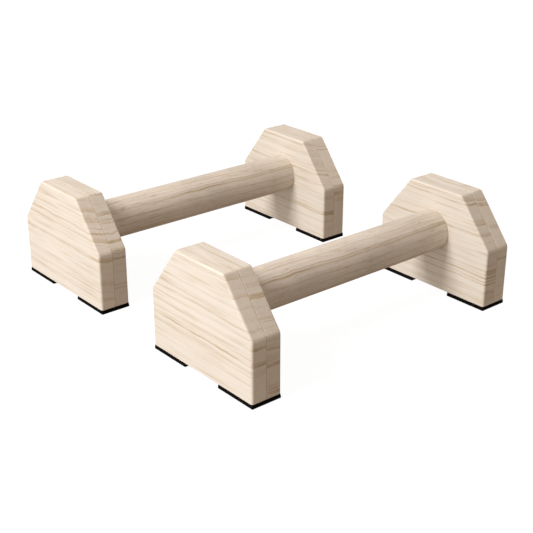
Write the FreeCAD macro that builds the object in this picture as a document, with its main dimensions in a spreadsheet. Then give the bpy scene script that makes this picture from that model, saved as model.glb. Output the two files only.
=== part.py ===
"""A pair of low wooden parallette bars for push-ups and handstands.

Each bar is a round grip rail between two upright end blocks.  A block is two boards glued face to
face: the inner board has a blind round mortise for the rail and a countersunk screw into the rail's
end, and the outer board covers the screw.  Rubber pads lie under both ends of every block.

Frame: millimetres, +Z up, origin on the floor midway between the two bars.  The rails run along X,
with the front ends at -X.  The right bar stands at -Y and the left bar at +Y.
"""
import FreeCAD, Part
import math
import os
import Sketcher

# Driving sizes in millimetres, and one angle in degrees
SIZES = {
    # end block: a board on its flat side, with bevelled shoulders and a narrower flat top
    "overall_length": 330.0,
    "base_depth": 145.0,
    "block_height": 108.0,
    "top_width": 68.0,
    "shoulder_height": 59.0,
    "board_thickness": 16.0,
    "shoulder_radius": 8.0,
    "crest_radius": 3.5,
    "round_over": 2.2,
    "seam_arris": 0.5,
    # grip rail, its axis measured from the underside of the block
    "grip_diameter": 42.0,
    "grip_height": 62.0,
    "grip_lead": 1.0,
    "mortise_web": 5.0,
    "glue_clearance": 0.1,
    # countersunk tie screw from the inner board into the rail's end
    "screw_length": 55.0,
    "screw_diameter": 5.0,
    "screw_head_diameter": 9.6,
    "screw_head_angle": 90.0,
    "screw_point_length": 6.0,
    "screw_sink": 0.4,
    "screw_clearance": 0.15,
    "pilot_spare": 2.0,
    # rubber pads
    "foot_length": 48.0,
    "foot_height": 4.5,
    "foot_edge": 0.4,
    # clear floor between the two bars
    "bar_gap": 92.0,
}

TOLERANCE = 1e-4
FULL_TURN = 360.0
HALF_TURN = 180.0
SIDES = {"right": -1, "left": 1}
ENDS = {"front": -1, "rear": 1}

document = FreeCAD.newDocument("parallette_bars")
sheet = document.addObject("Spreadsheet::Sheet", "sizes")
for row, (alias, number) in enumerate(SIZES.items(), start=1):
    sheet.set(f"A{row}", alias)
    sheet.set(f"B{row}", str(number))
    sheet.setAlias(f"B{row}", alias)
document.recompute()

# Worked-out sizes, as expressions on the sheet
GLUE_PLANE_X = "(sizes.overall_length / 2 - sizes.board_thickness)"
BAR_Y = "((sizes.base_depth + sizes.bar_gap) / 2)"
GRIP_LENGTH = "(sizes.overall_length - 2 * sizes.board_thickness - 2 * sizes.mortise_web)"
MORTISE_RADIUS = "(sizes.grip_diameter / 2 + sizes.glue_clearance)"
HOLE_RADIUS = "(sizes.screw_diameter / 2 + sizes.screw_clearance)"
HEAD_SLOPE = "tan(sizes.screw_head_angle * 1 deg / 2)"
HEAD_DEPTH = f"((sizes.screw_head_diameter - sizes.screw_diameter) / 2 / {HEAD_SLOPE})"
PILOT_DEPTH = "(sizes.screw_length + sizes.screw_sink - sizes.mortise_web + sizes.pilot_spare)"
FOOT_Y = "((sizes.base_depth - sizes.foot_length) / 2)"
# a round-over has to stay tighter than the crest that it runs round
ROUND_OVER_SHARE = 0.8
ROUND_OVER = f"min(sizes.round_over; {ROUND_OVER_SHARE} * sizes.crest_radius)"


def value(expression):
    """The number that an expression on the sheet gives now."""
    return float(sheet.evalExpression(expression))


def new_body(name):
    """An empty sub-part whose label is its node's name."""
    body = document.addObject("PartDesign::Body", name)
    body.Label = name
    return body


def new_sketch(body, name, role, **shift):
    """A sketch on one of the body's own origin planes, shifted in its own axes by expressions."""
    sketch = body.newObject("Sketcher::SketchObject", f"{body.Name}_{name}")
    plane = next(item for item in body.Origin.OriginFeatures if item.Role == role)
    sketch.AttachmentSupport = [(plane, "")]
    sketch.MapMode = "FlatFace"
    for axis, expression in shift.items():
        sketch.setExpression(f"AttachmentOffset.Base.{axis}", expression)
    return sketch


def draw_outline(sketch, corners):
    """A closed run of straight lines whose corners are held at pairs of expressions."""
    first = sketch.GeometryCount
    points = [FreeCAD.Vector(value(across), value(along), 0) for across, along in corners]
    for start, end in zip(points, points[1:] + points[:1]):
        sketch.addGeometry(Part.LineSegment(start, end), False)
    for order, corner in enumerate(corners):
        line = first + order
        following = first + (order + 1) % len(corners)
        sketch.addConstraint(Sketcher.Constraint("Coincident", line, 2, following, 1))
        for kind, expression in zip(("DistanceX", "DistanceY"), corner):
            held = Sketcher.Constraint(kind, -1, 1, line, 1, value(expression))
            sketch.setExpression(f"Constraints[{sketch.addConstraint(held)}]", expression)


def draw_circle(sketch, radius, height="0"):
    """A circle on the sketch's upright axis, at a height above the sketch's origin."""
    centre = FreeCAD.Vector(0, value(height), 0)
    upright = FreeCAD.Vector(0, 0, 1)
    circle = sketch.addGeometry(Part.Circle(centre, upright, value(radius)), False)
    held = {
        "Radius": Sketcher.Constraint("Radius", circle, value(radius)),
        "DistanceX": Sketcher.Constraint("DistanceX", -1, 1, circle, 3, 0.0),
        "DistanceY": Sketcher.Constraint("DistanceY", -1, 1, circle, 3, value(height)),
    }
    for kind, expression in (("Radius", radius), ("DistanceX", "0"), ("DistanceY", height)):
        sketch.setExpression(f"Constraints[{sketch.addConstraint(held[kind])}]", expression)


def pad(body, sketch, length, backwards=False, centred=False):
    """The sketch raised into a solid."""
    feature = body.newObject("PartDesign::Pad", f"{body.Name}_pad")
    feature.Profile = sketch
    feature.SideType = "Symmetric" if centred else "One side"
    feature.Reversed = backwards
    feature.setExpression("Length", length)
    document.recompute()
    return feature


def must_shrink(body, feature, before):
    """A cut that points away from the solid takes nothing and shows no error, so it is caught here."""
    document.recompute()
    if feature.Shape.Volume >= before - TOLERANCE:
        raise RuntimeError(f"{feature.Name} takes nothing off {body.Name}")


def pocket_through(body, sketch):
    """The sketch cut right through the solid on the far side of its plane."""
    before = body.Shape.Volume
    feature = body.newObject("PartDesign::Pocket", f"{sketch.Name}_cut")
    feature.Profile = sketch
    feature.Type = "ThroughAll"
    must_shrink(body, feature, before)


def turn(body, sketch, kind):
    """The sketch turned once round its own horizontal axis, as a Revolution or a Groove."""
    before = body.Shape.Volume if kind == "Groove" else None
    feature = body.newObject(f"PartDesign::{kind}", f"{sketch.Name}_turn")
    feature.Profile = sketch
    feature.ReferenceAxis = (sketch, ["H_Axis"])
    feature.Angle = FULL_TURN
    document.recompute()
    if before is not None:
        must_shrink(body, feature, before)


def dress(body, kind, name, chosen, expression):
    """A Fillet or Chamfer on the edges of the body's last feature that the test chooses."""
    base = body.Tip
    edges = []
    for number, edge in enumerate(base.Shape.Edges, start=1):
        middle = edge.valueAt((edge.FirstParameter + edge.LastParameter) / 2)
        if chosen(edge, middle):
            edges.append(f"Edge{number}")
    if not edges:
        raise RuntimeError(f"{body.Name} has no edge for its {name}")
    feature = body.newObject(f"PartDesign::{kind}", f"{body.Name}_{name}")
    feature.Base = (base, edges)
    feature.setExpression("Radius" if kind == "Fillet" else "Size", expression)
    document.recompute()


def near(measure, expression):
    """Whether a measured number equals a sheet expression."""
    return math.isclose(measure, value(expression), abs_tol=TOLERANCE)


def lies_in_plane(edge, x):
    """Whether a whole edge lies in the upright plane at x."""
    box = edge.BoundBox
    return abs(box.XMin - x) < TOLERANCE and abs(box.XMax - x) < TOLERANCE


def board_blank(name, outward):
    """One board of an end block, glue face at x = 0, outward or inward from there.

    The outline is shared by both boards of a block, so their edges run on from one to the other.
    """
    body = new_body(name)
    sketch = new_sketch(body, "outline", "YZ_Plane")
    half_base = "sizes.base_depth / 2"
    half_top = "sizes.top_width / 2"
    draw_outline(sketch, [
        (f"-{half_base}", "0"),
        (half_base, "0"),
        (half_base, "sizes.shoulder_height"),
        (half_top, "sizes.block_height"),
        (f"-{half_top}", "sizes.block_height"),
        (f"-{half_base}", "sizes.shoulder_height"),
    ])
    pad(body, sketch, "sizes.board_thickness", backwards=not outward)

    def shoulder(edge, middle):
        return near(middle.z, "sizes.shoulder_height") and near(abs(middle.y), half_base)

    def crest(edge, middle):
        return near(middle.z, "sizes.block_height") and near(abs(middle.y), half_top)

    dress(body, "Fillet", "shoulders", shoulder, "sizes.shoulder_radius")
    dress(body, "Fillet", "crests", crest, "sizes.crest_radius")
    show_face = value("sizes.board_thickness") * (1 if outward else -1)

    def show_rim(edge, middle):
        return lies_in_plane(edge, show_face) and middle.z > TOLERANCE

    def glue_rim(edge, middle):
        return lies_in_plane(edge, 0.0) and middle.z > TOLERANCE

    dress(body, "Fillet", "round_over", show_rim, ROUND_OVER)
    dress(body, "Chamfer", "seam", glue_rim, "sizes.seam_arris")
    return body


def outer_board(name):
    """Plain cover board: it hides the tie screw and carries no fastener of its own."""
    return board_blank(name, outward=True)


def inner_board(name):
    """Carrying board: blind mortise for the rail from the inside, countersunk hole from the glue face."""
    body = board_blank(name, outward=False)
    mortise = new_sketch(body, "mortise", "YZ_Plane", z="-sizes.mortise_web")
    draw_circle(mortise, MORTISE_RADIUS, "sizes.grip_height")
    pocket_through(body, mortise)
    hole = new_sketch(body, "screw_hole", "YZ_Plane")
    draw_circle(hole, HOLE_RADIUS, "sizes.grip_height")
    pocket_through(body, hole)
    # the countersink is the head's cone and its rim, opened by the clearance
    head_radius = "(sizes.screw_head_diameter / 2 + sizes.screw_clearance)"
    sink = new_sketch(body, "countersink", "XZ_Plane", y="sizes.grip_height")
    draw_outline(sink, [
        ("0", "0"),
        ("0", head_radius),
        ("-sizes.screw_sink", head_radius),
        (f"-sizes.screw_sink - {head_radius} / {HEAD_SLOPE}", "0"),
    ])
    turn(body, sink, "Groove")
    return body


def tie_screw(name):
    """Countersunk wood screw on the X axis, head flat at x = -sink and point towards -X."""
    body = new_body(name)
    profile = new_sketch(body, "profile", "XZ_Plane")
    head = "-sizes.screw_sink"
    shank = "sizes.screw_diameter / 2"
    point = f"{head} - sizes.screw_length"
    draw_outline(profile, [
        (head, "0"),
        (head, "sizes.screw_head_diameter / 2"),
        (f"{head} - {HEAD_DEPTH}", shank),
        (f"{point} + sizes.screw_point_length", shank),
        (point, "0"),
    ])
    turn(body, profile, "Revolution")
    return body


def grip_bar(name):
    """Round rail on the X axis, with a pilot hole and a lead-in chamfer at each end."""
    body = new_body(name)
    section = new_sketch(body, "section", "YZ_Plane")
    draw_circle(section, "sizes.grip_diameter / 2")
    pad(body, section, GRIP_LENGTH, centred=True)

    def end_rim(edge, middle):
        return abs(abs(edge.BoundBox.XMin) - value(GRIP_LENGTH) / 2) < TOLERANCE and edge.isClosed()

    dress(body, "Chamfer", "lead", end_rim, "sizes.grip_lead")
    pilots = new_sketch(body, "pilots", "XZ_Plane")
    for sign in ENDS.values():
        end = f"{sign} * {GRIP_LENGTH} / 2"
        bottom = f"{sign} * ({GRIP_LENGTH} / 2 - {PILOT_DEPTH})"
        draw_outline(pilots, [(end, "0"), (end, HOLE_RADIUS), (bottom, HOLE_RADIUS), (bottom, "0")])
    turn(body, pilots, "Groove")
    return body


def rubber_foot(name):
    """Flat pad as wide as the two boards together, with its lower edges just broken."""
    body = new_body(name)
    sketch = new_sketch(body, "outline", "XY_Plane")
    draw_outline(sketch, [
        ("-sizes.board_thickness", "-sizes.foot_length / 2"),
        ("sizes.board_thickness", "-sizes.foot_length / 2"),
        ("sizes.board_thickness", "sizes.foot_length / 2"),
        ("-sizes.board_thickness", "sizes.foot_length / 2"),
    ])
    pad(body, sketch, "sizes.foot_height")
    dress(body, "Chamfer", "edge", lambda edge, middle: middle.z < TOLERANCE, "sizes.foot_edge")
    return body


def place(body, x, y, z, half_turned=False):
    """Puts a sub-part at its place in the frame; a front end is a rear end turned about."""
    upright = FreeCAD.Vector(0, 0, 1)
    body.Placement = FreeCAD.Placement(
        FreeCAD.Vector(), FreeCAD.Rotation(upright, HALF_TURN if half_turned else 0.0)
    )
    for axis, expression in zip("xyz", (x, y, z)):
        body.setExpression(f"Placement.Base.{axis}", expression)
    document.recompute()


def make_bar(side, side_sign):
    """All pieces of one bar, in their places."""
    bar_y = f"{side_sign} * {BAR_Y}"
    axis_z = "sizes.foot_height + sizes.grip_height"
    rail = grip_bar(f"{side}_grip_bar")
    place(rail, "0", bar_y, axis_z)
    nodes = [rail]
    for end, end_sign in ENDS.items():
        glue_x = f"{end_sign} * {GLUE_PLANE_X}"
        turned = end_sign < 0
        for maker, piece in ((outer_board, "outer_board"), (inner_board, "inner_board")):
            board = maker(f"{side}_{end}_{piece}")
            place(board, glue_x, bar_y, "sizes.foot_height", turned)
            nodes.append(board)
        screw = tie_screw(f"{side}_{end}_tie_screw")
        place(screw, glue_x, bar_y, axis_z, turned)
        nodes.append(screw)
        # the inside foot is the one towards the other bar
        for position, way in (("inside", -side_sign), ("outside", side_sign)):
            foot = rubber_foot(f"{side}_{end}_{position}_foot")
            place(foot, glue_x, f"{bar_y} + {way} * {FOOT_Y}", "0")
            nodes.append(foot)
    return nodes


def check_and_write(nodes):
    """Stops on any failed object or bad shape, then writes one file for each sub-part."""
    document.recompute()
    failed = [
        item.Name for item in document.Objects
        if any(word in state for state in item.State for word in ("Invalid", "Error"))
    ]
    failed += [
        body.Label for body in nodes
        if body.Shape.isNull() or not body.Shape.isValid() or len(body.Shape.Solids) != 1
    ]
    if failed:
        raise RuntimeError(f"failed objects: {failed}")
    os.makedirs("parts", exist_ok=True)
    for body in nodes:
        body.Shape.exportStep(f"parts/{body.Label}.step")
        print(body.Label, round(body.Shape.Volume, 1), "cubic mm")


made = []
for side_name, sign_of_y in SIDES.items():
    made += make_bar(side_name, sign_of_y)
check_and_write(made)
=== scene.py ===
"""Looks of a pair of wooden parallette bars: sanded boards, round rails, rubber pads and a white stage."""
import math
from itertools import product

import bpy
import numpy as np
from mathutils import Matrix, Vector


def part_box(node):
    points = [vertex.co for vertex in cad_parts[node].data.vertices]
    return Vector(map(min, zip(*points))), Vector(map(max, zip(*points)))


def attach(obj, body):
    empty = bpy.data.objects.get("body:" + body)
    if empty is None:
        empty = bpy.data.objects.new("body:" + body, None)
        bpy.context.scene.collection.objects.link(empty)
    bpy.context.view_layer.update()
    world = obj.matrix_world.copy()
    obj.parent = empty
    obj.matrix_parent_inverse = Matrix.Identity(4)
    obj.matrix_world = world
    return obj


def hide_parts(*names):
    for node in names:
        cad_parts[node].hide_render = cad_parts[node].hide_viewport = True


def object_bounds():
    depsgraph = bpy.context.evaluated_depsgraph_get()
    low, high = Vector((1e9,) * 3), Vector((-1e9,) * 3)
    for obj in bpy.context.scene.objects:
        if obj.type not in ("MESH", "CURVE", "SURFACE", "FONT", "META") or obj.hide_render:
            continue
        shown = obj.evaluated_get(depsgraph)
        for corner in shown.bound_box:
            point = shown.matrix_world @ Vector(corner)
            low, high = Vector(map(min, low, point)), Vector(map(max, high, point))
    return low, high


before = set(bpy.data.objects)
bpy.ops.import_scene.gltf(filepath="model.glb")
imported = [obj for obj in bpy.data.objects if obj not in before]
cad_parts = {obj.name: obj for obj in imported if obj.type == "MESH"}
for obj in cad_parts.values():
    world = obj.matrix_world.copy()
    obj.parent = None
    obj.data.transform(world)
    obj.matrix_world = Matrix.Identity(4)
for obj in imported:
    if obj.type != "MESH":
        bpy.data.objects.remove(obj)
cad_box = [list(corner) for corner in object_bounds()]

bl_info = {
    "name": "Wooden parallette bars",
    "version": (1, 0, 0),
    "blender": (4, 5, 0),
    "location": "3D View > Sidebar > Parallettes",
    "description": "Finishes a pair of parallette bars with solid wood, rubber and steel",
    "category": "Object",
}

SIDES = ("right", "left")
ENDS = ("front", "rear")
LAYERS = ("outer", "inner")
PLACES = ("inside", "outside")
LOW, HIGH = 0, 1
X, Y, Z = 0, 1, 2
MM_IN_M = 1000.0
TINY = 1e-5
SHARP_ANGLE = math.radians(32)

# Ways to the lights: azimuth from +X and elevation over the floor, in degrees
GLOW_WAY = (180, 0)
KEY_WAY = (176, 42)
FILL_WAY = (10, 10)

# Figure of the boards' wood: strengths are shares of the summer wood's colour, scales cycles in a millimetre
BOARD_FIGURE = {
    # rings: strength, how far they fade along the grain and how often, and how much they bend
    "contrast": 0.6,
    "fading": 0.6,
    "fading_scale": 0.035,
    "ripple": 2.2,
    "ripple_scale": 0.045,
    "sway": 1.0,
    # lines between the rings, veins in the faces, lines on the edges that look up or down
    "fine_lines": 0.47,
    "veins": 0.35,
    "edge_lines": 0.2,
    # flecks of the pores, and slow change of tone
    "flecks": 0.12,
    "fleck_scale": (1.3, 0.12, 1.3),
    "fleck_range": (0.14, 0.28),
    "clouds": 0.10,
}
# Tone taken from every inner board: painted shade on the blocks' inner halves
INNER_BOARD_PAINTED_SHADE = 0.04

# Figure of the rails' wood, by the same names, and the cut that both rails share
RAIL_FIGURE = {
    "contrast": 1.05,
    "fading": 0.7,
    "fading_scale": 0.014,
    "ripple": 1.3,
    "ripple_scale": 0.08,
    "sway": 0.95,
    "fine_lines": 0.25,
    "veins": 0.16,
    "edge_lines": 0.0,
    "flecks": 0.4,
    "fleck_scale": (0.6, 0.1, 0.6),
    "fleck_range": (0.06, 0.22),
    "clouds": 0.3,
    "tone": 0.955,
    "lean": (0.0, 0.0, math.radians(89.66)),
    "seed": 2.7,
    "ring_seed": 17.9,
}
RAIL_PITH_Y, RAIL_PITH_Z = -34, -124
RAIL_SHIFTS = (0, 80)


class BlockShape(bpy.types.PropertyGroup):
    """Sizes of the wooden pieces that their boxes don't give."""

    top_width: bpy.props.FloatProperty(
        name="Top width", description="Flat top of a block", default=0.068, unit="LENGTH")
    shoulder_height: bpy.props.FloatProperty(
        name="Shoulder height", description="Where the upright sides end", default=0.059, unit="LENGTH")
    shoulder_radius: bpy.props.FloatProperty(
        name="Shoulder radius", description="Rounding of the shoulder corners", default=0.008, unit="LENGTH")
    crest_radius: bpy.props.FloatProperty(
        name="Crest radius", description="Rounding of the top corners", default=0.0035, unit="LENGTH")
    heel_radius: bpy.props.FloatProperty(
        name="Heel radius", description="Rounding of the lower corners", default=0.0003, unit="LENGTH")
    round_over: bpy.props.FloatProperty(
        name="Round-over", description="Rounding round the show faces", default=0.0022, unit="LENGTH")
    seam_arris: bpy.props.FloatProperty(
        name="Seam arris", description="Bevel beside the glue seam", default=0.0005, unit="LENGTH")
    mortise_web: bpy.props.FloatProperty(
        name="Mortise web", description="Wood left behind the rail's end", default=0.005, unit="LENGTH")
    glue_clearance: bpy.props.FloatProperty(
        name="Glue clearance", description="Gap round the rail in its mortise", default=0.0001, unit="LENGTH")
    rail_lead: bpy.props.FloatProperty(
        name="Rail lead", description="Bevel on the rail's hidden ends", default=0.001, unit="LENGTH")
    pilot_depth: bpy.props.FloatProperty(
        name="Pilot depth", description="Screw hole in the rail's ends", default=0.0524, unit="LENGTH")
    screw_sink: bpy.props.FloatProperty(
        name="Screw sink", description="Depth of the head below the glue face", default=0.0004, unit="LENGTH")
    screw_shank: bpy.props.FloatProperty(
        name="Screw shank", description="Radius of the screw over its thread", default=0.0025, unit="LENGTH")
    screw_clearance: bpy.props.FloatProperty(
        name="Screw clearance", description="Room round the screw", default=0.00015, unit="LENGTH")


class ScrewShape(bpy.types.PropertyGroup):
    """Sizes of the tie screws that their boxes don't give."""

    pitch: bpy.props.FloatProperty(
        name="Pitch", description="Advance of the thread in a turn", default=0.0026, unit="LENGTH")
    neck_radius: bpy.props.FloatProperty(
        name="Neck radius", description="Plain shank under the head", default=0.0019, unit="LENGTH")
    core_radius: bpy.props.FloatProperty(
        name="Core radius", description="Shank inside the thread", default=0.0016, unit="LENGTH")
    plain_length: bpy.props.FloatProperty(
        name="Plain length", description="From the head's flat to the thread", default=0.019, unit="LENGTH")
    point_length: bpy.props.FloatProperty(
        name="Point length", description="Tapered end", default=0.006, unit="LENGTH")
    recess_reach: bpy.props.FloatProperty(
        name="Recess reach", description="Length of the recess's arms", default=0.0024, unit="LENGTH")
    recess_width: bpy.props.FloatProperty(
        name="Recess width", description="Width of the recess's arms", default=0.0013, unit="LENGTH")
    recess_depth: bpy.props.FloatProperty(
        name="Recess depth", description="Depth of the cross recess", default=0.0019, unit="LENGTH")


class WoodLook(bpy.types.PropertyGroup):
    """Colours and figure of the pale wood."""

    early_colour: bpy.props.FloatVectorProperty(
        name="Spring wood", description="Pale wood between the lines", subtype="COLOR", size=3,
        default=(0.73, 0.665, 0.587), min=0, max=1)
    late_colour: bpy.props.FloatVectorProperty(
        name="Summer wood", description="Tan wood of the ring lines", subtype="COLOR", size=3,
        default=(0.49, 0.37, 0.226), min=0, max=1)
    rail_colour: bpy.props.FloatVectorProperty(
        name="Rail wood", description="Pale wood of the rails", subtype="COLOR", size=3,
        default=(0.72, 0.64, 0.556), min=0, max=1)
    rail_line_colour: bpy.props.FloatVectorProperty(
        name="Rail lines", description="Olive brown of the rails' ring lines", subtype="COLOR", size=3,
        default=(0.43, 0.325, 0.195), min=0, max=1)
    end_tint: bpy.props.FloatVectorProperty(
        name="End grain tint", description="What end grain does to the colour", subtype="COLOR", size=3,
        default=(0.94, 0.91, 0.87), min=0, max=1)
    # Glue line in the seam, with painted shade in the groove beside it
    glue_line_and_shade_tint: bpy.props.FloatVectorProperty(
        name="Seam tint", description="What glue does to the colour in the seam", subtype="COLOR", size=3,
        default=(0.74, 0.69, 0.63), min=0, max=1)
    ring_width: bpy.props.FloatProperty(
        name="Ring width", description="Mean width of a year's growth", default=0.0085, unit="LENGTH")


class RubberLook(bpy.types.PropertyGroup):
    """Colour and edge of the pads."""

    colour: bpy.props.FloatVectorProperty(
        name="Rubber", description="Black of the pads", subtype="COLOR", size=3,
        default=(0.003, 0.0025, 0.002), min=0, max=1)
    ledge_height: bpy.props.FloatProperty(
        name="Ledge height", description="Where the pad's side steps in", default=0.0031, unit="LENGTH")
    edge: bpy.props.FloatProperty(
        name="Pad edge", description="Bevel round the pad's underside", default=0.0004, unit="LENGTH")
    corner_radius: bpy.props.FloatProperty(
        name="Pad corner", description="Rounding of the pad's corners", default=0.0004, unit="LENGTH")


class StageLook(bpy.types.PropertyGroup):
    """Camera and light."""

    azimuth: bpy.props.FloatProperty(
        name="Azimuth", description="Camera's turn about the upright", default=math.radians(-39.781),
        subtype="ANGLE")
    elevation: bpy.props.FloatProperty(
        name="Elevation", description="Camera's height angle", default=math.radians(23.57), subtype="ANGLE")
    lens: bpy.props.FloatProperty(name="Lens", description="Focal length in millimetres", default=73.5)
    place: bpy.props.FloatVectorProperty(
        name="Camera place", description="From the middle of the near bar's underside", size=3,
        default=(-0.6634, -0.6898, 0.474), subtype="TRANSLATION")
    even_light: bpy.props.FloatVectorProperty(
        name="Even light", description="Warm light from all round", subtype="COLOR", size=3,
        default=(0.328, 0.267, 0.215), min=0, max=4)
    top_light: bpy.props.FloatProperty(
        name="Top light", description="White light gained from level to straight up", default=0.135)
    front_light: bpy.props.FloatProperty(
        name="Front light", description="Broad soft light from before the front ends", default=0.47)
    key_watts: bpy.props.FloatProperty(
        name="Key light", description="Soft box high before the front ends", default=50, unit="POWER")
    fill_watts: bpy.props.FloatProperty(
        name="Fill light", description="Soft box low behind the rear ends", default=42, unit="POWER")


class ParalletteSettings(bpy.types.PropertyGroup):
    """Everything that a user would change."""

    block: bpy.props.PointerProperty(type=BlockShape)
    screw: bpy.props.PointerProperty(type=ScrewShape)
    wood: bpy.props.PointerProperty(type=WoodLook)
    rubber: bpy.props.PointerProperty(type=RubberLook)
    stage: bpy.props.PointerProperty(type=StageLook)


# Surfaces


def rounded_rings(corners, radii, insets, arc_steps, edge_steps):
    """Rings of a rounded polygon, each drawn in from the polygon by its own inset for every edge.

    An edge with outward normal n holds n.p = reach - inset.  The centre of a corner's arc is as far from both
    of its edges as the arc's radius: the corner's own, less what both edges are drawn in, and at least a
    quarter of it.  The arc swings from one normal to the next.  The straight stretches are shared out evenly.
    Corners run anticlockwise, insets are rings by edges, and the answer is rings by points by two.
    """
    ahead = np.roll(corners, -1, axis=0) - corners
    normal = np.stack([ahead[:, 1], -ahead[:, 0]], 1) / np.linalg.norm(ahead, axis=1)[:, None]
    reach = (normal * corners).sum(1)
    normal_before = np.roll(normal, 1, axis=0)
    held = reach - insets
    held_before = np.roll(held, 1, axis=1)
    shared_inset = np.minimum(insets, np.roll(insets, 1, axis=1))
    radius = np.maximum(radii - shared_inset, radii / 4)
    both_edges = np.stack([normal_before, normal], 1)
    both_held = np.stack([held_before - radius, held - radius], -1)
    centre = np.einsum("eij,kej->kei", np.linalg.inv(both_edges), both_held)
    start = np.arctan2(normal_before[:, 1], normal_before[:, 0])
    swing = (np.arctan2(normal[:, 1], normal[:, 0]) - start) % (2 * math.pi)
    turn = start[:, None] + swing[:, None] * np.linspace(0, 1, arc_steps)
    spoke = np.stack([np.cos(turn), np.sin(turn)], -1)
    arc = centre[:, :, None] + radius[:, :, None, None] * spoke
    share = np.linspace(0, 1, edge_steps + 2)[1:-1, None]
    straight = arc[:, :, -1:] * (1 - share) + np.roll(arc, -1, axis=1)[:, :, :1] * share
    return np.concatenate([arc, straight], 2).reshape(len(insets), -1, 2)


def ring_faces(rings, points, closed):
    """Four-cornered faces between each ring and the next, as rows of vertex numbers."""
    number = np.arange(rings * points).reshape(rings, points)
    beside = np.roll(number, -1, axis=1)
    following = np.roll(number, -1, axis=0)
    beside_following = np.roll(beside, -1, axis=0)
    faces = np.stack([number, beside, beside_following, following], -1)
    return faces[: rings if closed else rings - 1].reshape(-1, 4)


def skin(name, rings, flipped=False, closed=False):
    """A closed mesh through a stack of rings: the ends close on a middle point, or on each other."""
    count, points = rings.shape[:2]
    vertices = rings.reshape(-1, 3)
    quads = ring_faces(count, points, closed)
    triangles = np.zeros((0, 3), int)
    if not closed:
        first = np.arange(points)
        last = first + (count - 1) * points
        poles = np.stack([rings[0].mean(0), rings[-1].mean(0)])
        low_pole = np.full(points, len(vertices))
        vertices = np.concatenate([vertices, poles])
        low_fan = np.stack([np.roll(first, -1), first, low_pole], 1)
        high_fan = np.stack([last, np.roll(last, -1), low_pole + 1], 1)
        triangles = np.concatenate([low_fan, high_fan])
    if flipped:
        quads = quads[:, ::-1]
        triangles = triangles[:, ::-1]
    mesh = bpy.data.meshes.new(name)
    mesh.from_pydata(vertices.tolist(), [], quads.tolist() + triangles.tolist())
    mesh.polygons.foreach_set("use_smooth", np.ones(len(mesh.polygons), bool))
    mesh.set_sharp_from_angle(angle=SHARP_ANGLE)
    mesh.update()
    piece = bpy.data.objects.new(name, mesh)
    bpy.context.scene.collection.objects.link(piece)
    return piece


def mark_facing(piece, name, along):
    """Stores how squarely each point of a wooden piece faces an axis, from 0 to 1."""
    mesh = piece.data
    normals = np.empty(len(mesh.vertices) * 3, np.float32)
    mesh.vertices.foreach_get("normal", normals)
    facing = np.abs(normals.reshape(-1, 3)[:, along])
    layer = mesh.attributes.new(name, "FLOAT", "POINT")
    layer.data.foreach_set("value", facing.astype(np.float32))


def mark_seam(piece, glue_x, arris):
    """Stores 1 at a board's glue face and on the bevel beside it, and 0 past it: where the wood gets a glue
    line and painted shade.
    """
    mesh = piece.data
    points = np.empty(len(mesh.vertices) * 3, np.float32)
    mesh.vertices.foreach_get("co", points)
    depth = np.abs(points.reshape(-1, 3)[:, X] - glue_x)
    on_bevel = depth < 0.9 * arris
    layer = mesh.attributes.new("seam", "FLOAT", "POINT")
    layer.data.foreach_set("value", on_bevel.astype(np.float32))


def stand_for(piece, node, side, material):
    """The piece takes a node's place, finish and body."""
    piece.data.materials.append(material)
    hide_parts(node)
    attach(piece, f"{side}_bar")


# Pieces


def board_outline(box, block):
    """Corners and radii of a block's outline in Y and Z, anticlockwise from the lower -Y corner."""
    low, high = box
    middle = (low.y + high.y) / 2
    crest = block.top_width / 2
    shoulder = low.z + block.shoulder_height
    corners = np.array([
        (low.y, low.z), (high.y, low.z), (high.y, shoulder),
        (middle + crest, high.z), (middle - crest, high.z), (low.y, shoulder),
    ])
    radii = np.array([
        block.heel_radius, block.heel_radius, block.shoulder_radius,
        block.crest_radius, block.crest_radius, block.shoulder_radius,
    ])
    return corners, radii


def board_shell(box, block):
    """Rings round a board from its glue face to its show face, and how deep each lies behind the glue face.

    The arris beside the seam is a straight bevel, and the round-over a quarter circle in inset and depth.
    Neither runs along the underside, whose edges stay square.  The first and last ring lie in the flat faces,
    a little inside their edges.
    """
    thickness = box[HIGH].x - box[LOW].x
    radius = block.round_over
    turn = np.linspace(0, math.pi / 2, 9)
    support = 0.15 * radius
    flank = np.linspace(block.seam_arris + support, thickness - radius - support, 5)
    depth = np.concatenate([
        [0.0, 0.0, block.seam_arris], flank,
        thickness - radius + radius * np.sin(turn), [thickness],
    ])
    inset = np.concatenate([
        [block.seam_arris + support, block.seam_arris, 0.0], np.zeros(len(flank)),
        radius * (1 - np.cos(turn)), [radius + support],
    ])
    corners, radii = board_outline(box, block)
    insets = np.repeat(inset[:, None], len(corners), 1)
    underside = 0
    insets[:, underside] = 0.0
    insets[[0, -1], underside] = support
    return rounded_rings(corners, radii, insets, arc_steps=9, edge_steps=10), depth


def around(points):
    """Evenly spaced angles of a full turn."""
    return np.linspace(0, 2 * math.pi, points, endpoint=False)


def faded_rings(ring, target, shares):
    """Rings on the straight lines from a ring's points to a target's points, at these shares of the way."""
    share = np.asarray(shares)[:, None, None]
    return ring * (1 - share) + target * share


def circle_facing(ring, centre, radius):
    """A circle's points for the points of a ring round it.

    Each point's angle is the mean of the ring point's own direction from the centre and of its place in an
    even spread, which is turned so that the two agree on the whole.
    """
    away = ring - centre
    facing = np.unwrap(np.arctan2(away[:, 1], away[:, 0]))
    spread = around(len(ring))
    spread = spread + (facing - spread).mean()
    angle = (facing + spread) / 2
    return centre + radius * np.stack([np.cos(angle), np.sin(angle)], 1)


def in_space(outline, depth, glue_x, outward):
    """Rings in Y and Z, with their depths behind the glue face, as points of the frame."""
    x = glue_x + outward * np.asarray(depth)
    x = np.broadcast_to(x[:, None, None], outline.shape[:2] + (1,))
    return np.concatenate([x, outline], -1)


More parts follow.
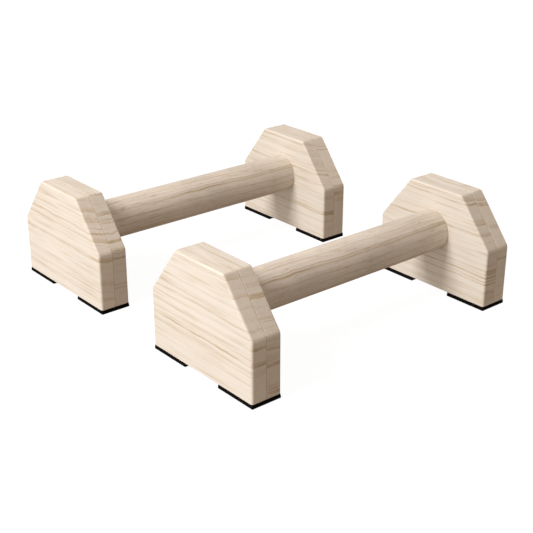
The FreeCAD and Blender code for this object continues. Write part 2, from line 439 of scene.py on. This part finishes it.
def outer_board(node, block):
    """A cover board: its two flat faces run into a small circle and close on its middle point."""
    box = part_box(node)
    away_from_middle = math.copysign(1.0, box[LOW].x)
    glue_x = box[LOW].x if away_from_middle > 0 else box[HIGH].x
    shell, depth = board_shell(box, block)
    core = circle_facing(shell[0], shell[0].mean(0), block.top_width / 8)
    shares = (1.0, 0.66, 0.33)
    glue = faded_rings(shell[0], core, shares)
    show = faded_rings(shell[-1], core, shares[::-1])
    outline = np.concatenate([glue, shell, show])
    depths = np.concatenate([np.zeros(len(glue)), depth, np.full(len(show), depth[-1])])
    rings = in_space(outline, depths, glue_x, away_from_middle)
    piece = skin(f"{node}_surface", rings, flipped=away_from_middle < 0)
    mark_seam(piece, glue_x, block.seam_arris)
    return piece


def inner_board(node, rail, screw, block):
    """A carrying board: its faces run into the rail's mortise and the screw's countersunk hole."""
    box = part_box(node)
    rail_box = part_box(rail)
    screw_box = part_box(screw)
    towards_middle = -math.copysign(1.0, box[LOW].x)
    glue_x = box[LOW].x if towards_middle > 0 else box[HIGH].x
    centre = np.array([(rail_box[LOW][i] + rail_box[HIGH][i]) / 2 for i in (Y, Z)])
    mortise = (rail_box[HIGH].z - rail_box[LOW].z) / 2 + block.glue_clearance
    head = (screw_box[HIGH].z - screw_box[LOW].z) / 2 + block.screw_clearance
    hole = block.screw_shank + block.screw_clearance
    shell, depth = board_shell(box, block)
    glue_hole = circle_facing(shell[0], centre, head)
    show_hole = circle_facing(shell[-1], centre, mortise)
    shares = (0.8, 0.5, 0.2)
    glue = faded_rings(shell[0], glue_hole, shares)
    show = faded_rings(shell[-1], show_hole, shares[::-1])
    web = block.mortise_web
    well_radius = np.array([mortise, mortise, hole, hole, head, head])
    well_depth = np.array([depth[-1], web, web, block.screw_sink + head - hole, block.screw_sink, 0.0])
    well = np.stack([circle_facing(shell[-1], centre, radius) for radius in well_radius])
    outline = np.concatenate([glue, shell, show, well])
    depths = np.concatenate([np.zeros(len(glue)), depth, np.full(len(show), depth[-1]), well_depth])
    rings = in_space(outline, depths, glue_x, towards_middle)
    piece = skin(f"{node}_surface", rings, flipped=towards_middle < 0, closed=True)
    mark_seam(piece, glue_x, block.seam_arris)
    return piece


def turned_rings(along, radius, centre, angle):
    """Rings round an X axis through centre in Y and Z; X and radius are rings by one, or rings by points."""
    y = centre[0] + radius * np.cos(angle)
    z = centre[1] + radius * np.sin(angle)
    x = np.broadcast_to(along, y.shape)
    return np.stack([x, y, z], -1)


def grip_rail(node, block):
    """A round rail with bevelled ends and the screws' pilot holes, turned from one profile."""
    low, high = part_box(node)
    radius = (high.z - low.z) / 2
    hole = block.screw_shank + block.screw_clearance
    half = (high.x - low.x) / 2
    end = np.array([half - block.pilot_depth, half, half, half - block.rail_lead])
    end_radius = np.array([hole, hole, radius - block.rail_lead, radius])
    body = np.linspace(half - block.rail_lead, block.rail_lead - half, 41)[1:-1]
    along = np.concatenate([-end, -body, end[::-1]]) + (low.x + high.x) / 2
    profile = np.concatenate([end_radius, np.full(len(body), radius), end_radius[::-1]])
    centre = ((low.y + high.y) / 2, (low.z + high.z) / 2)
    return skin(f"{node}_surface", turned_rings(along[:, None], profile[:, None], centre, around(144)))


def cross_recess(radius, angle, screw):
    """Depth of a cross recess at points of a screw's head: arms on Y and Z that get shallower outwards."""
    y, z = np.abs(radius * np.cos(angle)), np.abs(radius * np.sin(angle))
    beside = np.minimum(y, z)
    out = np.maximum(y, z)
    wall = 0.15 * screw.recess_width
    slope = 0.5 * screw.recess_reach
    floor = np.clip((screw.recess_reach - out) / slope, 0, 1)
    return screw.recess_depth * floor * np.clip((screw.recess_width / 2 - beside) / wall, 0, 1)


def threaded_screw(node, block, screw):
    """A countersunk wood screw: cone under the head, plain neck, and a thread that runs out at the point.

    Distances count from the head's flat.  The thread's ridge stands where the distance in pitches, less the
    turn round the axis, is half past a whole number.  Its narrow flat slopes to the core on both sides.
    """
    low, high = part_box(node)
    towards_middle = -math.copysign(1.0, low.x)
    head_x = low.x if towards_middle > 0 else high.x
    length = high.x - low.x
    head = (high.z - low.z) / 2
    centre = ((low.y + high.y) / 2, (low.z + high.z) / 2)
    angle = around(48)
    flat = np.linspace(0.04, 1, 26)[:, None] * head
    sunk = cross_recess(flat, angle, screw)

    cone = head - screw.neck_radius
    rings_in_pitch = 14
    threaded = math.ceil((length - screw.plain_length) / screw.pitch * rings_in_pitch)
    distance = np.concatenate([
        np.linspace(0, cone, 5)[1:], np.linspace(cone, screw.plain_length, 6)[1:-1],
        np.linspace(screw.plain_length, length, threaded),
    ])
    point = length - screw.point_length
    run_in = screw.plain_length + 2 * screw.pitch
    ridge_height = block.screw_shank - screw.core_radius
    core = np.interp(
        distance, (0, cone, screw.plain_length, run_in, point, length),
        (head, screw.neck_radius, screw.neck_radius, screw.core_radius, screw.core_radius, TINY))
    height = np.interp(
        distance, (screw.plain_length, run_in, point, length), (0, ridge_height, ridge_height, 0))
    phase = (distance[:, None] / screw.pitch - towards_middle * angle / (2 * math.pi)) % 1
    half_foot, slope = 0.24, 0.18
    ridge = np.clip((half_foot - np.abs(phase - 0.5)) / slope, 0, 1)
    radius = core[:, None] + height[:, None] * ridge
    rings = np.concatenate([
        turned_rings(head_x + towards_middle * sunk, flat, centre, angle),
        turned_rings(head_x + towards_middle * distance[:, None], radius, centre, angle),
    ])
    return skin(f"{node}_surface", rings, flipped=towards_middle < 0)


def rubber_pad(node, rubber):
    """A flat pad, its rounded outline carried up from the bevelled underside and drawn in above a ledge."""
    low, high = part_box(node)
    corners = np.array([(low.x, low.y), (high.x, low.y), (high.x, high.y), (low.x, high.y)])
    ledge = low.z + rubber.ledge_height
    inset = np.array([rubber.edge, 0.0, 0.0, rubber.edge, rubber.edge])
    height = np.array([low.z, low.z + rubber.edge, ledge - rubber.edge, ledge, high.z])
    radii = np.full(len(corners), rubber.corner_radius)
    insets = np.repeat(inset[:, None], len(corners), 1)
    rings = rounded_rings(corners, radii, insets, arc_steps=5, edge_steps=6)
    under = faded_rings(rings[0], rings[0].mean(0), (0.7, 0.35))
    over = faded_rings(rings[-1], rings[-1].mean(0), (0.35, 0.7))
    outline = np.concatenate([under, rings, over])
    level = np.concatenate([np.full(len(under), height[0]), height, np.full(len(over), height[-1])])
    level = np.broadcast_to(level[:, None, None], outline.shape[:2] + (1,))
    return skin(f"{node}_surface", np.concatenate([outline, level], -1))


# Materials


class Wire:
    """A value in a material's node tree: arithmetic on wires adds Math nodes, and add() any other node."""

    def __init__(self, tree, socket=None):
        self.tree = tree
        self.socket = socket

    def add(self, kind, settings=None, sockets=None, output=0):
        """A node of this type: its settings are set first, then its sockets get numbers, colours or wires."""
        node = self.tree.nodes.new(kind)
        for name, setting in (settings or {}).items():
            setattr(node, name, setting)
        for name, source in (sockets or {}).items():
            if isinstance(source, Wire):
                self.tree.links.new(source.socket, node.inputs[name])
            else:
                node.inputs[name].default_value = source
        return Wire(self.tree, node.outputs[output])

    def math(self, operation, *values):
        """A Math node on these values."""
        return self.add("ShaderNodeMath", {"operation": operation}, dict(enumerate(values)))

    def __add__(self, other):
        return self.math("ADD", self, other)

    def __sub__(self, other):
        return self.math("SUBTRACT", self, other)

    def __rsub__(self, other):
        return self.math("SUBTRACT", other, self)

    def __mul__(self, other):
        return self.math("MULTIPLY", self, other)

    def __truediv__(self, other):
        return self.math("DIVIDE", self, other)

    def __pow__(self, other):
        return self.math("POWER", self, other)

    __radd__ = __add__
    __rmul__ = __mul__


def noise(coords, scale, seed, detail=2.0, roughness=0.5):
    """Noise from -0.5 to 0.5 with its own scale along each axis, shifted by the seed."""
    stretched = coords.add("ShaderNodeVectorMath", {"operation": "MULTIPLY_ADD"},
                           {0: coords, 1: scale, 2: (seed, 1.7 * seed, 2.3 * seed)})
    sockets = {"Vector": stretched, "Scale": 1.0, "Detail": detail, "Roughness": roughness}
    return coords.add("ShaderNodeTexNoise", {"noise_dimensions": "3D"}, sockets) - 0.5


def random_of(number, seed):
    """A fixed random value from 0 to 1 for each whole number."""
    return number.add("ShaderNodeTexWhiteNoise", {"noise_dimensions": "1D"}, {"W": number + seed})


def smooth_step(value, start, stop):
    """0 before start, 1 after stop and a smooth climb between them."""
    settings = {"interpolation_type": "SMOOTHSTEP"}
    return value.add("ShaderNodeMapRange", settings, {"Value": value, "From Min": start, "From Max": stop})


def mix_colour(share, first, second):
    """Colours blended by a share from 0 to 1."""
    sockets = {0: share, 6: first, 7: second}
    return share.add("ShaderNodeMix", {"data_type": "RGBA"}, sockets, output=2)


def scaled_colour(colour, factor):
    """A colour times a value."""
    return factor.add("ShaderNodeVectorMath", {"operation": "SCALE"}, {0: colour, "Scale": factor})


def opaque(colour):
    """Three numbers of a colour as the four that a socket takes."""
    return (*colour, 1.0)


def tinted(share, colour, tint):
    """A colour multiplied by a tint, in a share from 0 to 1."""
    settings = {"data_type": "RGBA", "blend_type": "MULTIPLY"}
    return share.add("ShaderNodeMix", settings, {0: share, 6: colour, 7: opaque(tint)}, output=2)


def place_in_mm(tree):
    """A point's place in the frame, in millimetres."""
    place = tree.add("ShaderNodeTexCoord", output=3)
    return tree.add("ShaderNodeVectorMath", {"operation": "SCALE"}, {0: place, "Scale": MM_IN_M})


def stored(tree, name):
    """A value that a mesh stores at its points, or 0 where it stores none."""
    return tree.add("ShaderNodeAttribute", {"attribute_name": name}, output=2)


def new_material(name):
    """An empty material with a principled shader: its tree's first wire and the shader."""
    material = bpy.data.materials.new(name)
    material.use_nodes = True
    return material, Wire(material.node_tree), material.node_tree.nodes["Principled BSDF"]


def drive(shader, wires):
    """Links wires to the shader's sockets by name."""
    for name, wire in wires.items():
        wire.tree.links.new(wire.socket, shader.inputs[name])


def pith_distance(local, cut):
    """Distance from the pith, which is the local Y axis, bent by noise of three sizes."""
    seed = cut["seed"]
    parts = local.add("ShaderNodeSeparateXYZ", sockets={0: local}).socket.node.outputs
    across, up = Wire(local.tree, parts[X]), Wire(local.tree, parts[Z])
    slow = noise(local, (0.012, 0.005, 0.012), seed) * 7.0
    wave = noise(local, (0.05, 0.03, 0.05), seed + 3.1) * 3.0
    ripple = noise(local, (0.13, cut["ripple_scale"], 0.13), seed + 10.8) * cut["ripple"]
    squared = across * across + up * up
    return squared.math("SQRT", squared) + (slow + wave + ripple) * cut["sway"]


def ring_lines(radius, drift, local, end, cut):
    """Growth rings: the distance from the pith in ring widths, and in each ring a climb from 0 to a dark end.

    The climb's start and height are random for each ring.  A thin broken line tops it, and at once the next
    ring starts pale.  End grain has more of the climb and less of the line.
    """
    seed = cut["seed"]
    years = radius / cut["ring_width"] + drift * 1.3
    year = years.math("FLOOR", years)
    season = years.math("FRACT", years)
    weight = (random_of(year, cut["ring_seed"]) * 0.8 + 0.22) ** (end * 1.5 + 1.0)
    broken = smooth_step(noise(local, (0.09, cut["fading_scale"], 0.09), seed + 6.4), -0.22, 0.2)
    fresh = 1.0 - smooth_step(season, 0.95, 1.0)
    ripening = smooth_step(season, random_of(year, seed + 4.0) * 0.4, 1.0) ** (2.0 - end) * fresh
    line = smooth_step(season, 0.8, 0.95) * fresh
    rings = (ripening * (end * 0.4 + 0.55) + line * (broken * 0.6 + 0.2) * (1.0 - end * 0.8)) * weight
    return rings * (broken * cut["fading"] + (1.0 - 0.6 * cut["fading"]))


def fine_lines(radius, drift, local, seed):
    """Thin broken lines between the rings, 2.3 mm apart and each of a random darkness."""
    steps = radius / 2.3 + drift * 3.0
    step = steps.math("FLOOR", steps)
    part = steps.math("FRACT", steps)
    broken = smooth_step(noise(local, (0.12, 0.028, 0.12), seed + 12.6), -0.1, 0.25)
    return smooth_step(part, 0.35, 1.0) * random_of(step, seed + 7.7) ** 2.0 * broken


def wood_material(name, wood, early_colour, late_colour, cut):
    """Solid wood: growth rings round a far pith, fine lines and fibres along the grain, and darker end grain.

    The pith is a line in the frame, turned by the lean so that its own Y axis is the grain.  Rays stripe the
    end grain towards the pith, and lines run along the edges that look up or down.  Lengths are in
    millimetres.
    """
    material, tree, shader = new_material(name)
    seed = cut["seed"]
    local = tree.add("ShaderNodeMapping", {"vector_type": "TEXTURE"},
                     {"Vector": place_in_mm(tree), "Location": cut["pith"], "Rotation": cut["lean"]})
    end = stored(tree, "end_grain")
    face = 1.0 - end
    edge = smooth_step(stored(tree, "edge_grain"), 0.75, 0.95)

    radius = pith_distance(local, cut)
    drift = tree.add("ShaderNodeTexNoise", {"noise_dimensions": "1D"},
                     {"W": radius * 0.05 + seed, "Detail": 1.0})
    rings = ring_lines(radius, drift, local, end, cut)
    fine = fine_lines(radius, drift, local, seed)
    fibre = noise(local, (0.8, 0.03, 0.8), seed + 5.3, detail=4.0, roughness=0.6)
    streak = noise(local, (0.3, 0.01, 0.3), seed + 8.9, detail=3.0, roughness=0.6)
    cloud = noise(local, (0.03, 0.02, 0.03), seed + 2.2)
    fleck = smooth_step(noise(local, cut["fleck_scale"], seed + 9.5), *cut["fleck_range"])
    vein = smooth_step(noise(local, (0.46, 0.013, 0.46), seed + 14.2, detail=1.0), 0.0, 0.22)
    edge_line = smooth_step(noise(local, (0.36, 0.022, 0.05), seed + 17.3, detail=1.0), -0.07, 0.1)
    ray = noise(local, (0.5, 0.2, 0.06), seed + 15.5)

    figure = (rings * (end * 0.6 + 1.0) + fine * (face * cut["fine_lines"] + 0.08)) * cut["contrast"]
    figure = figure + fibre * 0.3 + streak * 0.3 + fleck * cut["flecks"] + vein * face * cut["veins"]
    figure = figure + ray * end * 0.4 + edge_line * edge * cut["edge_lines"]
    figure = tree.add("ShaderNodeClamp", sockets={"Value": figure})
    colour = mix_colour(figure, opaque(early_colour), opaque(late_colour))
    colour = scaled_colour(colour, cloud * cut["clouds"] + cut["tone"])
    colour = tinted(end, colour, wood.end_tint)
    # The seam bevel is darkened: a glue line, and painted shade in the groove
    colour = tinted(stored(tree, "seam"), colour, wood.glue_line_and_shade_tint)

    relief = fibre * 0.03 - rings * 0.02 + noise(local, (2.5, 0.25, 2.5), seed + 1.4) * 0.012
    bump = tree.add("ShaderNodeBump", sockets={"Height": relief, "Strength": 0.5, "Distance": 1 / MM_IN_M})
    shader.inputs["Specular IOR Level"].default_value = 0.3
    drive(shader, {"Base Color": colour, "Roughness": fibre * 0.12 + rings * 0.06 + 0.55, "Normal": bump})
    return material


def rubber_material(rubber):
    """Matt black rubber with a fine moulded grain and a dusty bloom in broad patches."""
    material, tree, shader = new_material("pad_rubber")
    in_mm = place_in_mm(tree)
    grain = noise(in_mm, (2.2, 2.2, 2.2), 4.0, detail=3.0)
    bloom = noise(in_mm, (0.12, 0.12, 0.12), 9.0)
    dusty = tuple(0.002 + channel for channel in rubber.colour)
    colour = mix_colour((bloom + 0.5) * 0.5, opaque(rubber.colour), opaque(dusty))
    bump = tree.add("ShaderNodeBump",
                    sockets={"Height": grain * 0.08, "Strength": 0.6, "Distance": 1 / MM_IN_M})
    shader.inputs["Specular IOR Level"].default_value = 0.05
    drive(shader, {"Base Color": colour, "Roughness": grain * 0.15 + 0.72, "Normal": bump})
    return material


def steel_material():
    """Zinc-plated steel with a pale mottled bloom."""
    material, tree, shader = new_material("screw_zinc")
    in_mm = place_in_mm(tree)
    mottle = noise(in_mm, (0.8, 0.8, 0.8), 2.0, detail=3.0)
    colour = mix_colour(mottle + 0.5, opaque((0.55, 0.55, 0.56)), opaque((0.72, 0.71, 0.68)))
    shader.inputs["Metallic"].default_value = 1.0
    drive(shader, {"Base Color": colour, "Roughness": mottle * 0.2 + 0.38})
    return material


# Operators


def middle_in_mm(node):
    """The middle of a node's box, in millimetres."""
    low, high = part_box(node)
    return [(low[i] + high[i]) / 2 * MM_IN_M for i in (X, Y, Z)]


class PARALLETTE_OT_blocks(bpy.types.Operator):
    """Sanded boards of the end blocks, each cut from its own piece of wood"""

    bl_idname = "parallette.blocks"
    bl_label = "Make the end blocks"

    def execute(self, context):
        settings = context.scene.parallettes
        wood = settings.wood
        draw = np.random.default_rng(11)
        for side, end, layer in product(SIDES, ENDS, LAYERS):
            node = f"{side}_{end}_{layer}_board"
            if layer == "outer":
                piece = outer_board(node, settings.block)
            else:
                piece = inner_board(node, f"{side}_grip_bar", f"{side}_{end}_tie_screw", settings.block)
            mark_facing(piece, "end_grain", Y)
            mark_facing(piece, "edge_grain", Z)
            x, y, z = middle_in_mm(node)
            cut = {
                **BOARD_FIGURE,
                "pith": (x + draw.uniform(15, 60), y, z + draw.uniform(240, 380)),
                "lean": (math.radians(draw.uniform(-1.5, 1.5)), 0.0, math.radians(draw.uniform(-1, 1))),
                "seed": draw.uniform(0, 50),
                # inner boards are darker by painted shade
                "tone": draw.uniform(0.975, 1.005) - (INNER_BOARD_PAINTED_SHADE if layer == "inner" else 0.0),
                "ring_width": wood.ring_width * MM_IN_M * draw.uniform(0.85, 1.2),
            }
            cut["ring_seed"] = cut["seed"]
            material = wood_material(f"{node}_wood", wood, wood.early_colour, wood.late_colour, cut)
            stand_for(piece, node, side, material)
        return {"FINISHED"}


class PARALLETTE_OT_rails(bpy.types.Operator):
    """Round grip rails with the grain along them, both turned from one plank"""

    bl_idname = "parallette.rails"
    bl_label = "Make the grip rails"

    def execute(self, context):
        settings = context.scene.parallettes
        wood = settings.wood
        for side, shift in zip(SIDES, RAIL_SHIFTS):
            node = f"{side}_grip_bar"
            piece = grip_rail(node, settings.block)
            mark_facing(piece, "end_grain", X)
            x, y, z = middle_in_mm(node)
            cut = {
                **RAIL_FIGURE,
                "pith": (x + shift, y + RAIL_PITH_Y, z + RAIL_PITH_Z),
                "ring_width": wood.ring_width * MM_IN_M,
            }
            material = wood_material(f"{node}_wood", wood, wood.rail_colour, wood.rail_line_colour, cut)
            stand_for(piece, node, side, material)
        return {"FINISHED"}


class PARALLETTE_OT_pads(bpy.types.Operator):
    """Black rubber pads under the blocks"""

    bl_idname = "parallette.pads"
    bl_label = "Make the rubber pads"

    def execute(self, context):
        rubber = context.scene.parallettes.rubber
        material = rubber_material(rubber)
        for side, end, place in product(SIDES, ENDS, PLACES):
            node = f"{side}_{end}_{place}_foot"
            stand_for(rubber_pad(node, rubber), node, side, material)
        return {"FINISHED"}


class PARALLETTE_OT_screws(bpy.types.Operator):
    """Threaded tie screws, hidden in the blocks and the rails"""

    bl_idname = "parallette.screws"
    bl_label = "Make the tie screws"

    def execute(self, context):
        settings = context.scene.parallettes
        material = steel_material()
        for side, end in product(SIDES, ENDS):
            node = f"{side}_{end}_tie_screw"
            piece = threaded_screw(node, settings.block, settings.screw)
            stand_for(piece, node, side, material)
        return {"FINISHED"}


class PARALLETTE_OT_stage(bpy.types.Operator):
    """White floor, soft light from before the front ends and the camera"""

    bl_idname = "parallette.stage"
    bl_label = "Set the stage"

    def execute(self, context):
        stage = context.scene.parallettes.stage
        make_floor()
        make_camera(context, stage)
        make_light(context, stage)
        context.scene.view_settings.view_transform = "Standard"
        return {"FINISHED"}


def make_floor():
    """A wide flat plate a hair under the pads."""
    reach, gap = 40.0, 0.0001
    floor_z = cad_box[LOW][Z] - gap
    mesh = bpy.data.meshes.new("floor")
    corners = [(-reach, -reach), (reach, -reach), (reach, reach), (-reach, reach)]
    mesh.from_pydata([(x, y, floor_z) for x, y in corners], [], [(0, 1, 2, 3)])
    material, _, shader = new_material("floor_white")
    shader.inputs["Base Color"].default_value = (0.1, 0.1, 0.1, 1)
    shader.inputs["Roughness"].default_value = 0.9
    shader.inputs["Specular IOR Level"].default_value = 0.0
    shader.inputs["Emission Color"].default_value = (1, 1, 1, 1)
    shader.inputs["Emission Strength"].default_value = 0.95
    mesh.materials.append(material)
    floor = bpy.data.objects.new("floor", mesh)
    bpy.context.scene.collection.objects.link(floor)
    floor.visible_diffuse = False
    floor.visible_glossy = False


def make_camera(context, stage):
    """Camera at the settings' place and angles, with no roll."""
    low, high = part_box("right_grip_bar")
    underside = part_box("right_front_outer_board")[LOW].z
    lens = bpy.data.cameras.new("camera")
    lens.lens = stage.lens
    camera = bpy.data.objects.new("camera", lens)
    camera.location = (
        (low.x + high.x) / 2 + stage.place[X],
        (low.y + high.y) / 2 + stage.place[Y],
        underside + stage.place[Z],
    )
    camera.rotation_euler = (math.pi / 2 - stage.elevation, 0, stage.azimuth)
    context.scene.collection.objects.link(camera)
    context.scene.camera = camera


def make_light(context, stage):
    """Two soft boxes in a dome of warm even light, a white share that grows with height and a front glow.

    The glow falls off with the cosine.  The camera sees the dome as a plain white backdrop.
    """
    world = bpy.data.worlds.new("studio")
    context.scene.world = world
    world.use_nodes = True
    tree = Wire(world.node_tree)
    way = tree.add("ShaderNodeTexCoord")
    height = cosine(way, (0, 0, 1))
    front = cosine(way, direction(*GLOW_WAY))
    white = front.math("MAXIMUM", front, 0.0) * stage.front_light + height * stage.top_light
    grey = tree.add("ShaderNodeCombineXYZ", sockets={"X": white, "Y": white, "Z": white})
    total = tree.add("ShaderNodeVectorMath", {"operation": "ADD"}, {0: grey, 1: stage.even_light})
    seen = tree.add("ShaderNodeLightPath")
    backdrop = mix_colour(seen, total, opaque((1, 1, 1)))
    tree.tree.links.new(backdrop.socket, world.node_tree.nodes["Background"].inputs["Color"])
    soft_box("key", *KEY_WAY, stage.key_watts)
    soft_box("fill", *FILL_WAY, stage.fill_watts)


def soft_box(name, azimuth, elevation, watts):
    """A square lamp that faces the middle of the object; azimuth is from +X."""
    distance, size = 2.4, 0.8
    lamp = bpy.data.lights.new(name, "AREA")
    lamp.shape = "SQUARE"
    lamp.size = size
    lamp.energy = watts
    light = bpy.data.objects.new(name, lamp)
    light.location = [distance * part for part in direction(azimuth, elevation)]
    light.rotation_euler = (math.radians(90 - elevation), 0, math.radians(azimuth + 90))
    bpy.context.scene.collection.objects.link(light)


def direction(azimuth, elevation):
    """The way to a point at an azimuth from +X and an elevation over the floor, both in degrees."""
    turn, rise = math.radians(azimuth), math.radians(elevation)
    return math.cos(rise) * math.cos(turn), math.cos(rise) * math.sin(turn), math.sin(rise)


def cosine(way, middle):
    """The cosine of the angle between the way that light comes from and a middle way."""
    return way.add("ShaderNodeVectorMath", {"operation": "DOT_PRODUCT"}, {0: way, 1: middle}, output=1)


class PARALLETTE_PT_panel(bpy.types.Panel):
    """Settings and steps in the 3D view's sidebar"""

    bl_label = "Parallettes"
    bl_idname = "PARALLETTE_PT_panel"
    bl_space_type = "VIEW_3D"
    bl_region_type = "UI"
    bl_category = "Parallettes"

    def draw(self, context):
        for step in STEPS:
            self.layout.operator(step.bl_idname)
        for group in ("block", "screw", "wood", "rubber", "stage"):
            settings = getattr(context.scene.parallettes, group)
            for name in settings.__annotations__:
                self.layout.prop(settings, name)


GROUPS = (BlockShape, ScrewShape, WoodLook, RubberLook, StageLook, ParalletteSettings)
STEPS = (
    PARALLETTE_OT_blocks, PARALLETTE_OT_rails, PARALLETTE_OT_pads, PARALLETTE_OT_screws, PARALLETTE_OT_stage,
)
CLASSES = (*GROUPS, *STEPS, PARALLETTE_PT_panel)


def register():
    for item in CLASSES:
        bpy.utils.register_class(item)
    bpy.types.Scene.parallettes = bpy.props.PointerProperty(type=ParalletteSettings)


def unregister():
    del bpy.types.Scene.parallettes
    for item in reversed(CLASSES):
        bpy.utils.unregister_class(item)


def main():
    register()
    bpy.ops.parallette.blocks()
    bpy.ops.parallette.rails()
    bpy.ops.parallette.pads()
    bpy.ops.parallette.screws()
    bpy.ops.parallette.stage()


if __name__ == "__main__":
    main()
